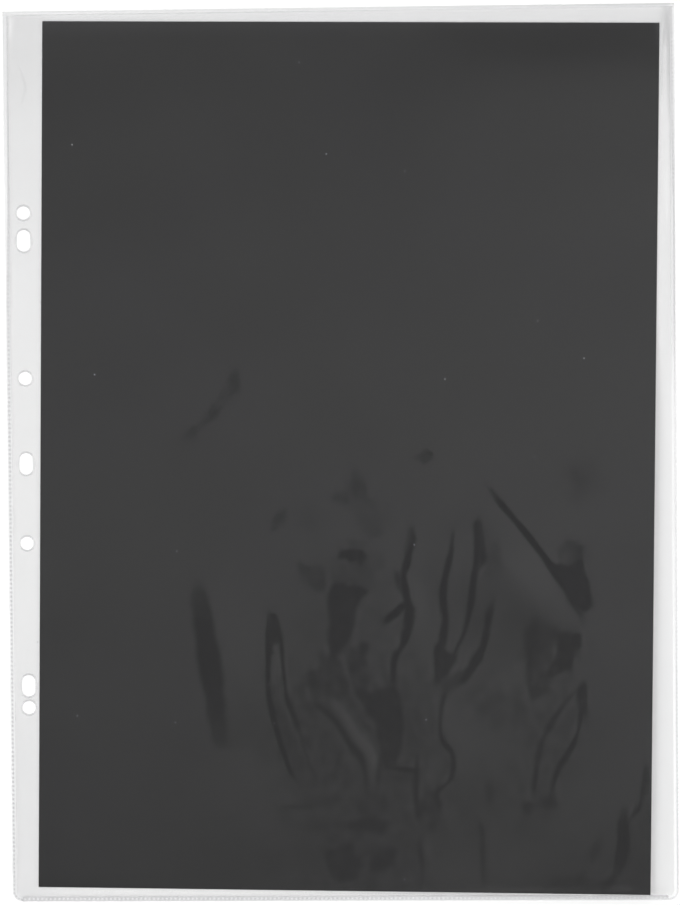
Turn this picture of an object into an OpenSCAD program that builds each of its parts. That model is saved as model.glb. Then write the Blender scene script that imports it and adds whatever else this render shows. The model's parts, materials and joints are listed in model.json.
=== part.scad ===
// Clear top-loading pocket for one large sheet, welded on three sides and punched for ring binders.
// It lies flat: X runs across it, Y runs up to the open mouth and Z through its thickness.
// The origin is under the middle of the pocket. All sizes are in millimetres.

/* [Sheet] */
// Width of the sheet in the pocket
sheet_w = 297; // [148:1:420]
// Height of the sheet
sheet_h = 420; // [297:1:594]
// Thickness of the sheet
sheet_t = 0.25; // [0.1:0.01:1]
// Angle that the loose sheet lies turned, clockwise, in degrees
sheet_turn = 0.9; // [0:0.1:1.5]

/* [Film] */
// Thickness of each film
film_t = 0.12; // [0.05:0.01:0.4]
// Clearance between the sheet and each film
slip = 0.05; // [0.02:0.01:0.5]

/* [Pocket] */
// Play from the sheet to the weld opposite the binding edge
side_play = 4.7; // [0.5:0.1:20]
// Gap from the lowest corner of the sheet to the bottom weld
foot_gap = 0.1; // [0.05:0.05:5]
// Height of the front film above the highest corner of the sheet
mouth_cover = 3.1; // [0.5:0.1:20]
// Height of the back film above the front film, which opens the mouth
back_lip = 1.7; // [0.5:0.1:10]
// Radius of the two bottom corners
corner_r = 5; // [0.5:0.5:8]

/* [Welds] */
// Width of each weld
weld_w = 2.4; // [1.5:0.1:6]
// Distance from one rung of the ladder pattern to the next
rung_pitch = 2.1; // [1.5:0.1:5]
// Length of the pit between two rungs
pit_l = 1.2; // [0.4:0.1:1.4]
// Width of the pit between the two rails
pit_w = 1.1; // [0.4:0.1:1.3]
// Depth of the pit
pit_depth = 0.15; // [0.05:0.01:0.2]

/* [Punching] */
// Diameter of the four round holes
hole_d = 6.5; // [5:0.1:8]
// Distance between neighbouring round holes
ring_pitch = 80; // [60:1:90]
// Drop of the middle of the round holes below mid-height
ring_drop = 1.2; // [-10:0.1:10]
// Width of the three slots
slot_w = 6.5; // [5:0.1:8]
// Length of the three slots
slot_l = 10.5; // [8.5:0.1:14]
// Distance between neighbouring slots
slot_pitch = 107.95; // [80:0.05:110]
// Drop of the middle slot below mid-height
slot_drop = 2.6; // [-10:0.1:10]
// Film left between the binding weld and the slots
hole_land = 3.45; // [1:0.05:10]
// Film left between the slots and the sheet
sheet_land = 0.45; // [0.1:0.05:20]

/* [Hidden] */
$fn = 64;

FILM = [0.90, 0.90, 0.92, 0.4];
WELD = [0.82, 0.82, 0.84, 0.8];
PAPER = [0.16, 0.16, 0.16];

// Room that the turned sheet takes up across and along the pocket
foot_w = sheet_w * cos(sheet_turn) + sheet_h * sin(sheet_turn);
foot_h = sheet_h * cos(sheet_turn) + sheet_w * sin(sheet_turn);

// Binding margin, and the pocket that results from it
bind_margin = weld_w + hole_land + slot_w + sheet_land;
pocket_w = bind_margin + foot_w + side_play + weld_w;
front_h = weld_w + foot_gap + foot_h + mouth_cover;
pocket_h = front_h + back_lip;

// Edges of the pocket
left = -pocket_w / 2;
right = pocket_w / 2;
bottom = -pocket_h / 2;
top = bottom + pocket_h;
mouth = bottom + front_h;
inner_left = left + weld_w;
inner_right = right - weld_w;
inner_bottom = bottom + weld_w;

// Layers, from the underside up
sheet_z = film_t + slip;
front_z = sheet_z + sheet_t + slip;
stack_t = front_z + film_t;
core_t = stack_t - pit_depth;

// Middle of the sheet
sheet_x = left + bind_margin + foot_w / 2;
sheet_y = inner_bottom + foot_gap + foot_h / 2;

// Line through the slots and the round holes, and how many there are of each
punch_x = inner_left + hole_land + slot_w / 2;
ring_count = 4;
slot_count = 3;

// Outline of the whole pocket, square at the mouth and round at the bottom corners
module outline() {
    translate([left, bottom + corner_r])
        square([pocket_w, pocket_h - corner_r]);
    translate([left + corner_r, bottom])
        square([pocket_w - 2 * corner_r, corner_r]);
    for (x = [left + corner_r, right - corner_r])
        translate([x, bottom + corner_r])
            circle(r = corner_r);
}

// Places of count things, pitch apart, about the height y
function row(count, pitch, y) = [for (i = [0 : count - 1]) y + (i - (count - 1) / 2) * pitch];

// The slot that one punch cuts
module slot() {
    straight = slot_l - slot_w;
    square([slot_w, straight], center = true);
    for (y = [-straight / 2, straight / 2])
        translate([0, y])
            circle(d = slot_w);
}

// Round holes and slots along the binding edge
module punches() {
    for (y = row(ring_count, ring_pitch, -ring_drop))
        translate([punch_x, y])
            circle(d = hole_d);
    for (y = row(slot_count, slot_pitch, -slot_drop))
        translate([punch_x, y])
            slot();
}

// One film as it lies between the welds, up to the given height
module film_panel(reach) {
    intersection() {
        outline();
        translate([inner_left, inner_bottom])
            square([inner_right - inner_left, reach - inner_bottom]);
    }
}

// Row of pits along +Y that starts at the origin and fills the given run
module pits(run) {
    count = floor(run / rung_pitch);
    start = (run - (count - 1) * rung_pitch) / 2;
    for (i = [0 : count - 1])
        translate([0, start + i * rung_pitch])
            square([pit_w, pit_l], center = true);
}

// Fused strip with its ladder pattern: the plan is the first child, its pits are the second
module weld() {
    color(WELD) {
        linear_extrude(core_t)
            children(0);
        translate([0, 0, core_t])
            linear_extrude(pit_depth)
                difference() {
                    children(0);
                    children(1);
                }
    }
}

// Upright weld whose left edge is at x, with its lower end cut by the corner
module upright_weld(x) {
    weld() {
        intersection() {
            outline();
            translate([x, bottom])
                square([weld_w, front_h]);
        }
        translate([x + weld_w / 2, bottom + corner_r])
            pits(front_h - corner_r);
    }
}

// Back film, whose lip runs the full width above the front film
module back_film() {
    color(FILM)
        linear_extrude(film_t)
            difference() {
                union() {
                    film_panel(top);
                    translate([left, mouth])
                        square([pocket_w, back_lip]);
                }
                punches();
            }
}

// Front film, which ends at the mouth
module front_film() {
    color(FILM)
        translate([0, 0, front_z])
            linear_extrude(film_t)
                difference() {
                    film_panel(mouth);
                    punches();
                }
}

// Weld along the binding edge, outside the holes
module binding_weld() {
    upright_weld(left);
}

// Weld opposite the binding edge
module side_weld() {
    upright_weld(inner_right);
}

// Weld along the bottom, between the two upright ones
module bottom_weld() {
    weld() {
        intersection() {
            outline();
            translate([inner_left, bottom])
                square([inner_right - inner_left, weld_w]);
        }
        translate([right - corner_r, bottom + weld_w / 2])
            rotate(90)
                pits(pocket_w - 2 * corner_r);
    }
}

// Loose sheet, lying slightly turned on the bottom weld
module sheet() {
    color(PAPER)
        translate([sheet_x, sheet_y, sheet_z])
            rotate(-sheet_turn)
                translate([-sheet_w / 2, -sheet_h / 2, 0])
                    cube([sheet_w, sheet_h, sheet_t]);
}

back_film();
front_film();
binding_weld();
side_weld();
bottom_weld();
sheet();
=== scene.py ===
import json
import math
from typing import NamedTuple

import bmesh
import bpy
import numpy as np
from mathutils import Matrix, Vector
from mathutils.geometry import delaunay_2d_cdt


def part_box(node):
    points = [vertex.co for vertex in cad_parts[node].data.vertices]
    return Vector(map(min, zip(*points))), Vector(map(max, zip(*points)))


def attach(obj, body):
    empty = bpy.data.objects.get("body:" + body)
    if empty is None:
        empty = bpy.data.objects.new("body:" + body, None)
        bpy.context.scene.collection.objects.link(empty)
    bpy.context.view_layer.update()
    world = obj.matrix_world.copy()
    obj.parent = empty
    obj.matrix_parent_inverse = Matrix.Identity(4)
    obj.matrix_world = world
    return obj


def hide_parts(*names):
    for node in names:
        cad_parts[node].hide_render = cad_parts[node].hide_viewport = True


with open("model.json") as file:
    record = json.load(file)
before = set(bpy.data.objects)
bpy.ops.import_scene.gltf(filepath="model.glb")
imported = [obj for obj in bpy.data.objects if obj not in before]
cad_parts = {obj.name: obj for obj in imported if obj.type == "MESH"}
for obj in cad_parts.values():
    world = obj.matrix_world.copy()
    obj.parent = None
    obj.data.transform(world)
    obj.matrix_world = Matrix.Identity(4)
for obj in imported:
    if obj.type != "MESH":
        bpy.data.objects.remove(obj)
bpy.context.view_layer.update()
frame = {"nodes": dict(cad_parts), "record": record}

bl_info = {
    "name": "Punched Sheet Pocket",
    "version": (1, 0, 0),
    "blender": (4, 5, 0),
    "location": "3D View > Sidebar > Pocket",
    "description": "Clear welded pocket with ring-binder punching and a black sheet inside",
    "category": "Object",
}

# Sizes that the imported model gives

MM = 0.001
POCKET_BODY = "pocket"


def node_box(name):
    """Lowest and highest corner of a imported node, in millimetres."""
    low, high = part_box(name)
    return np.array(low) / MM, np.array(high) / MM


BACK_HIGH = node_box("back_film")[1]
FRONT_LOW, FRONT_HIGH = node_box("front_film")
BINDING_LOW, BINDING_HIGH = node_box("binding_weld")

LEFT = BINDING_LOW[0]
RIGHT = -LEFT
BOTTOM = node_box("bottom_weld")[0][1]
MOUTH = FRONT_HIGH[1]
TOP = BACK_HIGH[1]
INNER_LEFT = BINDING_HIGH[0]
INNER_RIGHT = -INNER_LEFT
WELD_WIDTH = INNER_LEFT - LEFT
INNER_BOTTOM = BOTTOM + WELD_WIDTH
STACK_TOP = FRONT_HIGH[2]


class Hole(NamedTuple):
    """One punched hole, round where its straight part is nil, in millimetres."""

    x: float
    y: float
    radius: float
    straight: float


def punched_holes(record):
    """The holes that the record's mounts give, each once."""
    holes = {}
    for mount in record["mounts"]:
        sizes = mount["dims"]
        if "spacing_y_mm" not in sizes:
            continue
        x, middle = (value / MM for value in mount["pos_m"][:2])
        radius = sizes["hole_r_mm"]
        straight = sizes.get("slot_length_mm", 2 * radius) - 2 * radius
        for side in (-0.5, 0.5):
            y = middle + side * sizes["spacing_y_mm"]
            holes[round(y, 2)] = Hole(x, y, radius, straight)
    return [holes[y] for y in sorted(holes)]


HOLES = punched_holes(frame["record"])


# Values that a user would change

def length_property(name, description, millimetres):
    """A length that a user may change."""
    return bpy.props.FloatProperty(
        name=name, description=description, default=millimetres * MM, unit="LENGTH", precision=5,
    )


def factor_property(name, description, default):
    """A plain factor that a user may change."""
    return bpy.props.FloatProperty(name=name, description=description, default=default, min=0.0, max=2.0)


def colour_property(name, description, default):
    """A colour that a user may change."""
    return bpy.props.FloatVectorProperty(
        name=name, description=description, default=default, subtype="COLOR", size=3,
    )


class PocketSizes(bpy.types.PropertyGroup):
    film_thickness: length_property(
        "Film thickness", "Thickness of each clear film", FRONT_HIGH[2] - FRONT_LOW[2],
    )
    corner_radius: length_property("Corner radius", "Radius of the two bottom corners", 5)
    rung_pitch: length_property("Rung pitch", "Distance from one rung of a weld to the next", 2.1)
    pit_length: length_property("Pit length", "Length of the pit between two rungs", 1.2)
    pit_width: length_property("Pit width", "Width of the pit between the two rails", 1.1)
    pit_depth: length_property("Pit depth", "Depth of the pits pressed into a weld", 0.15)
    fine_step: length_property("Fine step", "Distance between mesh points where the film is creased", 0.8)
    wrinkle: factor_property("Wrinkling", "How strongly the front film is wrinkled", 1.0)


class PocketColours(bpy.types.PropertyGroup):
    film: colour_property("Film", "Colour of the faint haze in the clear film", (0.80, 0.80, 0.86))
    weld: colour_property("Weld", "Colour of the fused film in the welds", (0.50, 0.50, 0.53))
    # Edges is also the colour given to the painted shade in the films and welds
    edge: colour_property("Edges", "Colour of cut edges and pressed rails", (0.42, 0.42, 0.44))
    paper: colour_property("Paper", "Colour of the black sheet", (0.020, 0.020, 0.020))
    floor: colour_property("Floor", "Colour of the table under the pocket", (1.0, 1.0, 1.0))


class StudioSettings(bpy.types.PropertyGroup):
    eye: bpy.props.FloatVectorProperty(
        name="Eye",
        description="Place of the camera",
        default=(0.0303, 0.0264, 1.1008),
        subtype="TRANSLATION",
        unit="LENGTH",
        size=3,
    )
    turn: bpy.props.FloatVectorProperty(
        name="Turn",
        description="Tilt of the camera from looking straight down",
        default=tuple(math.radians(angle) for angle in (-1.299, 1.582, -0.49)),
        subtype="EULER",
        size=3,
    )
    lens: bpy.props.FloatProperty(
        name="Lens",
        description="Focal length in millimetres, on a frame 36 mm high",
        default=90.66,
    )
    lamp_power: bpy.props.FloatProperty(
        name="Lamp power",
        description="Power of the four soft lamps together",
        default=95.0,
        unit="POWER",
    )
    ceiling: factor_property("Ceiling", "Brightness of the panel overhead, which the film mirrors", 0.51)
    walls: factor_property("Walls", "Brightness of the pale walls around", 0.6)


# Folds of the front film, in millimetres on the pocket's plane

class Crease(NamedTuple):
    """A fold with a steep side along its path, and a gentle side that falls away again.

    The gentle side is on the left of the path where side is 1, and on the right where it is -1. Before it
    falls, it may go on rising over a shoulder. The foot of the steep side clings to the sheet.
    """

    path: tuple
    side: int
    rise: float
    width: float
    hold: float
    fall: float = 8.0
    shoulder_rise: float = 0.0
    shoulder_width: float = 1.0


class Ridge(NamedTuple):
    """A long low swelling of the film, with its widths on the left and the right of its path."""

    path: tuple
    height: float
    left: float
    right: float


class ShadeAndScratchLine(NamedTuple):
    """A line greyed into the film: painted shade along a sharp bend, and the real grey of a scratch."""

    path: tuple
    width: float
    frost_and_shade: float


class Patch(NamedTuple):
    """An area inside a smooth closed outline where the film is drawn flat onto the sheet."""

    outline: tuple
    hold: float
    edge: float = 1.3


CREASES = (
    # Broad blade at the left of the wrinkled part
    Crease(
        ((-70, -58), (-67, -82), (-65, -96), (-63, -109), (-61, -126), (-59, -142)),
        1, 0.8, 10.5, 0.95, fall=30,
    ),
    # Narrow leaf that opens downwards
    Crease(
        ((-36, -74), (-36, -86), (-36, -98), (-36, -113), (-34, -125), (-31, -136), (-28, -146),
         (-25, -154), (-19, -161)),
        1, 0.3, 2.3, 0.95, fall=10,
    ),
    Crease(
        ((-32, -76), (-30, -86), (-29, -98), (-28, -110), (-26, -120), (-22, -131), (-16, -150), (-9, -161)),
        -1, 0.3, 2.2, 0.95, fall=9,
    ),
    # Long folds in the middle, from left to right
    Crease(
        ((35, -33), (34, -41), (32, -50), (30, -58), (31, -67), (32, -75), (32, -83), (29, -92), (25, -99),
         (24, -117)),
        1, 0.5, 3.4, 0.95,
    ),
    Crease(((20, -81), (26, -76), (31, -71)), 1, 0.3, 3.4, 0.9, fall=5),
    Crease(
        ((54, -36), (53, -46), (51, -55), (49, -64), (49, -72), (50, -79), (49, -87), (48, -97)),
        1, 0.5, 3.6, 0.95, fall=7,
    ),
    Crease(
        ((66, -29), (66, -44), (64, -58), (62, -73), (60, -82), (58, -88), (53, -99)),
        1, 0.45, 2.5, 0.9, fall=7,
    ),
    Crease(
        ((74, -69), (71, -77), (69, -89), (67, -95), (61, -105), (57, -110), (50, -114)),
        1, 0.5, 3.6, 0.95, fall=10,
    ),
    Crease(
        ((58, -109), (51, -113), (48, -121), (47, -130), (48, -138), (53, -145), (52, -157), (47, -161),
         (45, -165), (46, -173), (42, -184)),
        1, 0.25, 2.4, 0.8, fall=14,
    ),
    # Strong diagonal edge with a light shoulder below it
    Crease(
        ((69, -13), (80, -27), (90, -39), (99, -51), (107, -63), (118, -82)), -1, 0.7, 4.0, 0.95,
        fall=42, shoulder_rise=1.2, shoulder_width=15,
    ),
    # Loop at the lower right
    Crease(((113, -114), (106, -122), (99, -133), (96, -139), (94, -148), (91, -170)), 1, 0.25, 2.3, 0.8),
    Crease(((117, -111), (115, -125), (113, -136), (107, -147), (103, -154), (99, -169)), -1, 0.25, 2.3, 0.8),
    # Short folds near the bottom edge
    Crease(
        ((-16, -118), (-8, -124), (-3, -129), (1, -136), (5, -142), (9, -147), (11, -154), (11, -165)),
        1, 0.3, 2.8, 0.75, fall=6,
    ),
    Crease(((20, -141), (18, -149), (17, -157), (17, -166)), -1, 0.2, 2.3, 0.7, fall=5),
    Crease(((0, -139), (-2, -147), (-6, -157)), 1, 0.2, 2.8, 0.7, fall=5),
    Crease(((21, -151), (29, -152), (38, -153)), 1, 0.2, 2.3, 0.75, fall=5),
    Crease(((-33, -172), (-26, -170), (-18, -170), (-10, -167)), 1, 0.08, 2.2, 0.5),
    Crease(((36, -144), (35, -160), (36, -178)), 1, 0.25, 2.3, 0.8),
    Crease(((37, -183), (37, -192), (38, -201), (37, -211)), 1, 0.2, 2.4, 0.75),
    Crease(((65, -174), (67, -184), (67, -195), (68, -210)), 1, 0.3, 2.8, 0.5),
    Crease(
        ((136, -170), (135, -180), (135, -188), (134, -196), (131, -204), (124, -211)),
        1, 0.25, 6.2, 0.9, fall=16,
    ),
    Crease(((147, -148), (145, -163), (143, -170), (139, -176), (132, -184)), 1, 0.35, 3.2, 0.7, fall=8),
)

RIDGES = (
    # Curved swelling between the dark patches
    Ridge(((-8, -116), (-4, -120), (1, -126), (5, -132), (10, -139), (13, -147), (14, -168)), 0.15, 4.5, 5.0),
    # Slack below the mouth at the right, which falls towards the mouth
    Ridge(((20, 184), (90, 183), (190, 181)), 1.8, 34.0, 100.0),
    # Faint swelling across the middle
    Ridge(((-7, 55), (17, 22), (38, -7)), 0.18, 9.0, 28.0),
    # Buckle where the mouth meets the side weld
    Ridge(((158, 216), (157.4, 204), (156.4, 186)), 0.4, 2.0, 2.0),
)

SHADE_AND_SCRATCH_LINES = (
    # Painted shade of the pinch where the mouth meets the side weld: its core, its two arms and the film
    # between them
    ShadeAndScratchLine(((157.6, 219), (158.5, 207), (158.9, 200), (159.3, 190), (159.3, 160)), 2.6, 0.12),
    ShadeAndScratchLine(((157.6, 209), (156.4, 199), (155.7, 190), (155.3, 165)), 1.3, 0.08),
    ShadeAndScratchLine(((157.2, 218), (157.2, 194)), 6.0, 0.045),
    # Small curved scratch in the binding margin
    ShadeAndScratchLine(((-154.5, 191), (-152, 184), (-151, 178), (-153.5, 170)), 1.0, 0.035),
)

PATCHES = (
    # Wide areas where the film half clings
    Patch(
        ((-30, -114), (12, -104), (40, -108), (46, -150), (40, -206), (-18, -206), (-32, -160)),
        0.45, 14.0,
    ),
    Patch(((-10, -56), (18, -52), (26, -80), (20, -112), (-14, -112)), 0.25, 10.0),
    Patch(((2, -20), (18, -21), (23, -27), (19, -38), (11, -38), (5, -29)), 0.30, 4.0),
    Patch(((109, -6), (116, -4), (123, -8), (124, -17), (116, -22), (110, -17)), 0.35, 4.0),
    Patch(((90, -98), (118, -98), (118, -130), (104, -180), (82, -180)), 0.30, 12.0),
    Patch(((100, -186), (146, -186), (150, -212), (96, -212)), 0.22, 10.0),
    Patch(((-108, -168), (-40, -168), (-34, -212), (-120, -212)), 0.13, 14.0),
    Patch(((-22, -24), (-10, -25), (-10, -34), (-22, -34)), 0.20, 3.0),
    Patch(((60, -158), (78, -154), (84, -168), (76, -190), (60, -188), (54, -170)), 0.25, 8.0),
    Patch(((62, -118), (72, -112), (84, -116), (90, -124), (84, -132), (72, -130), (64, -126)), 0.40, 4.0),
    # Column of patches left of the long folds, from the top down
    Patch(((-4, -21), (2, -15), (5, -8), (10, -9), (12, -17), (15, -22), (6, -24)), 0.5, 2.5),
    Patch(((-33, -34), (-32, -30), (-28, -26), (-25, -26), (-26, -31), (-30, -35)), 0.6, 2.0),
    Patch(
        ((-2, -49), (0, -46), (4, -45), (9, -45), (12, -47), (13, -50), (9, -51), (4, -51), (1, -50)),
        1.0, 1.0,
    ),
    Patch(((-5, -54), (-3, -45), (5, -40), (14, -41), (20, -50), (15, -58), (6, -55), (0, -60)), 0.30, 2.0),
    Patch(((-5, -62), (-3, -53), (2, -50), (14, -50), (17, -55), (12, -62), (2, -64)), 0.50, 2.5),
    Patch(((-22, -54), (-17, -51), (-9, -53), (-8, -60), (-9, -66), (-15, -65)), 0.5, 2.2),
    Patch(
        ((-6, -64), (0, -62), (7, -62), (13, -66), (8, -71), (7, -80), (3, -89), (-5, -98), (-7, -78)),
        1.0,
    ),
    Patch(((8, -90), (12, -89), (13, -94), (10, -97)), 0.9),
    Patch(
        ((-18, -106), (-12, -102), (-9, -96), (-3, -95), (1, -104), (4, -113), (-6, -118), (-16, -117)),
        0.7, 2.0,
    ),
    Patch(((1, -94), (12, -95), (14, -113), (5, -117)), 0.70, 2.5),
    Patch(
        ((5, -114), (13, -113), (27, -113), (29, -128), (29, -141), (26, -150), (20, -151), (15, -129)),
        0.95,
    ),
    Patch(((7, -166), (20, -165), (21, -174), (8, -175)), 0.7, 1.6),
    Patch(((3, -178), (8, -175), (20, -176), (23, -180), (16, -183), (4, -182)), 1.0),
    Patch(((-9, -193), (-2, -188), (5, -189), (8, -197), (5, -206), (-3, -207), (-9, -200)), 0.9, 1.8),
    Patch(((12, -196), (17, -191), (25, -192), (24, -198), (17, -203), (12, -202)), 0.9),
    Patch(((-42, -196), (-34, -190), (-24, -192), (-22, -200), (-32, -204), (-40, -203)), 0.35, 2.5),
    Patch(((-24, -195), (-17, -191), (-9, -193), (-10, -199), (-20, -201)), 0.45, 2.5),
    # Heads and feet of the folds
    Patch(
        ((-37, -76), (-34, -75), (-30, -80), (-29, -89), (-30, -93), (-32, -91), (-34, -96), (-36, -93)),
        0.95,
    ),
    Patch(((-31, -129), (-26, -126), (-21, -129), (-19, -138), (-21, -144), (-27, -141)), 0.4, 2.0),
    Patch(((32, -36), (35, -35), (36, -41), (34, -47), (31, -45)), 0.7),
    Patch(((26, -56), (29, -55), (30, -60), (29, -66), (27, -64)), 0.8),
    Patch(((30, -71), (34, -69), (36, -76), (34, -84), (30, -82)), 0.9),
    Patch(
        ((64, -32), (68, -32), (69, -39), (70, -45), (70, -51), (67, -55), (64, -56), (64, -44)),
        0.95, 1.0,
    ),
    Patch(((69, -38), (73, -40), (77, -47), (77, -55), (73, -60), (69, -56)), 0.5, 2.2),
    Patch(((43, -107), (52, -106), (59, -104), (58, -110), (50, -117), (44, -117)), 0.5, 2.5),
    Patch(
        ((44, -95), (47, -91), (51, -95), (54, -95), (55, -99), (53, -103), (49, -108), (46, -110),
         (44, -103)),
        1.0, 1.0,
    ),
    Patch(((73, -114), (79, -114), (80, -126), (74, -129)), 0.4),
    Patch(((38, -165), (45, -164), (48, -168), (47, -172), (42, -174), (37, -172)), 0.7),
    Patch(((41, -178), (45, -178), (45, -182), (42, -183)), 0.8),
    Patch(((68, -160), (73, -159), (73, -166), (69, -168)), 0.6),
    # Beside and below the diagonal edge
    Patch(
        ((102, -53), (108, -53), (116, -51), (119, -58), (121, -66), (121, -73), (118, -76), (114, -74),
         (107, -63)),
        1.0,
    ),
    Patch(((106, -51), (107, -44), (109, -41), (115, -42), (119, -52), (112, -54)), 0.6, 2.0),
    Patch(
        ((105, -87), (110, -86), (116, -88), (115, -94), (110, -103), (103, -108), (98, -106), (101, -99)),
        1.0, 1.8,
    ),
    Patch(
        ((88, -84), (98, -81), (105, -88), (104, -98), (101, -107), (103, -110), (93, -119), (87, -102)),
        0.65, 2.5,
    ),
    Patch(
        ((87, -90), (90, -81), (95, -80), (96, -90), (95, -99), (94, -107), (92, -116), (90, -119),
         (87, -99)),
        0.85, 2.2,
    ),
    Patch(((94, -107), (100, -106), (103, -109), (98, -114), (92, -117)), 0.55, 2.0),
    Patch(((114, -111), (118, -111), (118, -123), (115, -126), (113, -119)), 0.9),
    Patch(((87, -168), (91, -167), (91, -173), (87, -174)), 0.8),
    Patch(((96, -166), (101, -163), (103, -170), (98, -172)), 0.75),
    Patch(((90, -168), (97, -167), (97, -172), (91, -172)), 0.5),
    Patch(((119, -190), (123, -188), (124, -194), (120, -198)), 0.6),
    Patch(((102, -203), (114, -202), (124, -206), (130, -204), (130, -209), (104, -210)), 0.5, 2.5),
    # Faint streak and small mark in the upper half
    Patch(((-48, 40), (-52, 41), (-65, 20), (-81, 8), (-79, 5), (-62, 16), (-50, 31)), 0.45, 2.0),
    Patch(((36, 0), (41, 3), (45, -1), (41, -4)), 0.8),
)


def smooth_step(low, high, value):
    """0 below low, 1 above high and a smooth rise between them."""
    part = np.clip((value - low) / (high - low), 0, 1)
    return part * part * (3 - 2 * part)


def even_ramp(low, high, value, rounding=0.2):
    """0 below low, 1 above high and an even slope between them, rounded at both ends."""
    part = np.clip((value - low) / (high - low), 0, 1)
    lower = part**2 / (2 * rounding)
    upper = 1 - rounding - (1 - part) ** 2 / (2 * rounding)
    middle = part - rounding / 2
    made = np.where(part < rounding, lower, np.where(part > 1 - rounding, upper, middle))
    return made / (1 - rounding)


def flowing(path, steps=8, closed=False):
    """The path as a smooth curve through its points, back to its start where it is closed."""
    points = np.array(path, float)
    if closed:
        points = np.vstack([points, points[:1]])
        padded = np.vstack([points[-2], points, points[1]])
    else:
        padded = np.vstack([2 * points[0] - points[1], points, 2 * points[-1] - points[-2]])
    made = [points[:1]]
    for i in range(len(points) - 1):
        before, start, end, after = padded[i:i + 4]
        t = np.linspace(0, 1, steps + 1)[1:, None]
        bend = (2 * before - 5 * start + 4 * end - after) * t**2
        twist = (3 * start - before - 3 * end + after) * t**3
        made.append((2 * start + (end - before) * t + bend + twist) / 2)
    return np.vstack(made)


def beside(line, x, y):
    """How far along the line each point is, from 0 to 1, and how far to its left."""
    legs = np.diff(line, axis=0)
    lengths = np.linalg.norm(legs, axis=1)
    starts = np.concatenate([[0], np.cumsum(lengths)[:-1]])
    nearest = np.full(len(x), np.inf)
    along = np.zeros(len(x))
    left = np.zeros(len(x))
    for corner, leg, length, start in zip(line, legs, lengths, starts):
        unit = leg / length
        to_x = x - corner[0]
        to_y = y - corner[1]
        run = np.clip(to_x * unit[0] + to_y * unit[1], 0, length)
        distance = np.hypot(to_x - run * unit[0], to_y - run * unit[1])
        side = np.where(unit[0] * to_y - unit[1] * to_x >= 0, 1, -1)
        closer = distance < nearest
        nearest = np.where(closer, distance, nearest)
        along = np.where(closer, start + run, along)
        left = np.where(closer, distance * side, left)
    return along / lengths.sum(), left


def tapered(along):
    """1 along the middle of a fold, and 0 at its two ends."""
    return np.sin(np.pi * np.clip(along, 0, 1)) ** 0.9


def within(path, reach, x, y):
    """Which points lie in the path's box, grown by the reach."""
    low = np.min(path, axis=0) - reach
    high = np.max(path, axis=0) + reach
    return (x > low[0]) & (x < high[0]) & (y > low[1]) & (y < high[1])


# Shape of every crease: the share of its width left at its ends, how far that width varies along it, and the
# width in millimetres above which it varies less. Then how soft the edge of its dark foot is for its width,
# and how far the dark outlasts the fold at its ends, which is less for each millimetre of width.
END_WIDTH = 0.3
WIDTH_PLAY = 0.22
PLAIN_WIDTH = 4
EDGE_SOFTNESS = 0.18
FADE_AT_ENDS = 1.6
FADE_OF_WIDTH = 0.05


def crease_lift(crease, x, y):
    """Height that one crease gives the film, and how far it makes the film cling."""
    lift = np.zeros(len(x))
    cling = np.zeros(len(x))
    near = within(crease.path, crease.width + crease.shoulder_width + crease.fall, x, y)
    line = flowing(crease.path)
    along, left = beside(line, x[near], y[near])
    off = left * crease.side
    taper = tapered(along)
    blunt = np.sqrt(taper)
    run = along * np.hypot(*np.diff(line, axis=0).T).sum()
    seed = int(abs(crease.path[0][0] + 3 * crease.path[0][1]))
    play = WIDTH_PLAY * min(1, PLAIN_WIDTH / crease.width)
    uneven = waves(run, np.zeros(len(run)), seed, (11, 17, 26, 40), play)
    half = crease.width / 2 * (END_WIDTH + (1 - END_WIDTH) * blunt) * (1 + uneven)
    crest = half + crease.shoulder_width
    step = crease.rise * even_ramp(-half, half, off)
    shoulder = crease.shoulder_rise * even_ramp(half, crest, off)
    lift[near] = taper * (step + shoulder) * (1 - even_ramp(crest, crest + crease.fall, off, 0.3))
    soft = EDGE_SOFTNESS * crease.width
    held = 1 - smooth_step(half - soft, half + 0.2 + soft, np.abs(off))
    fade = np.minimum(1, (FADE_AT_ENDS - FADE_OF_WIDTH * crease.width) * blunt)
    cling[near] = crease.hold * held * fade * np.minimum(1, 1 + 0.7 * uneven)
    return lift, cling


def line_shade_and_scratch(shade_and_scratch, x, y):
    """How grey one line makes the film: painted shade along a bend, the grey of a scratch."""
    along, left = beside(flowing(shade_and_scratch.path), x, y)
    return shade_and_scratch.frost_and_shade * tapered(along) * np.exp(-((left / (shade_and_scratch.width / 2)) ** 2))


def ridge_part(ridge, x, y):
    """Share of a swelling's height at each point."""
    along, left = beside(flowing(ridge.path), x, y)
    across = np.clip(np.abs(left) / np.where(left > 0, ridge.left, ridge.right), 0, 1)
    return tapered(along) * np.cos(across * np.pi / 2) ** 2


def waves(x, y, seed, lengths, height):
    """Seeded gentle waves of the given lengths, with about the given height."""
    draw = np.random.default_rng(seed)
    total = np.zeros(len(x))
    for length in lengths:
        heading = draw.uniform(0, 2 * math.pi)
        phase = draw.uniform(0, 2 * math.pi)
        total += np.sin((x * math.cos(heading) + y * math.sin(heading)) * 2 * math.pi / length + phase)
    return height * total / math.sqrt(len(lengths))


def inside_by(outline, x, y):
    """How far each point lies inside a closed outline; outside it the distance is negative."""
    line = flowing(outline, 5, closed=True)
    crossed = np.zeros(len(x), bool)
    distance = np.full(len(x), np.inf)
    for start, end in zip(line, line[1:]):
        leg = end - start
        part = np.clip(((x - start[0]) * leg[0] + (y - start[1]) * leg[1]) / (leg @ leg), 0, 1)
        distance = np.minimum(distance, np.hypot(x - start[0] - part * leg[0], y - start[1] - part * leg[1]))
        if start[1] != end[1]:
            spans = (start[1] > y) != (end[1] > y)
            crossed ^= spans & (x < start[0] + (y - start[1]) / leg[1] * leg[0])
    return np.where(crossed, distance, -distance)


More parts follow.
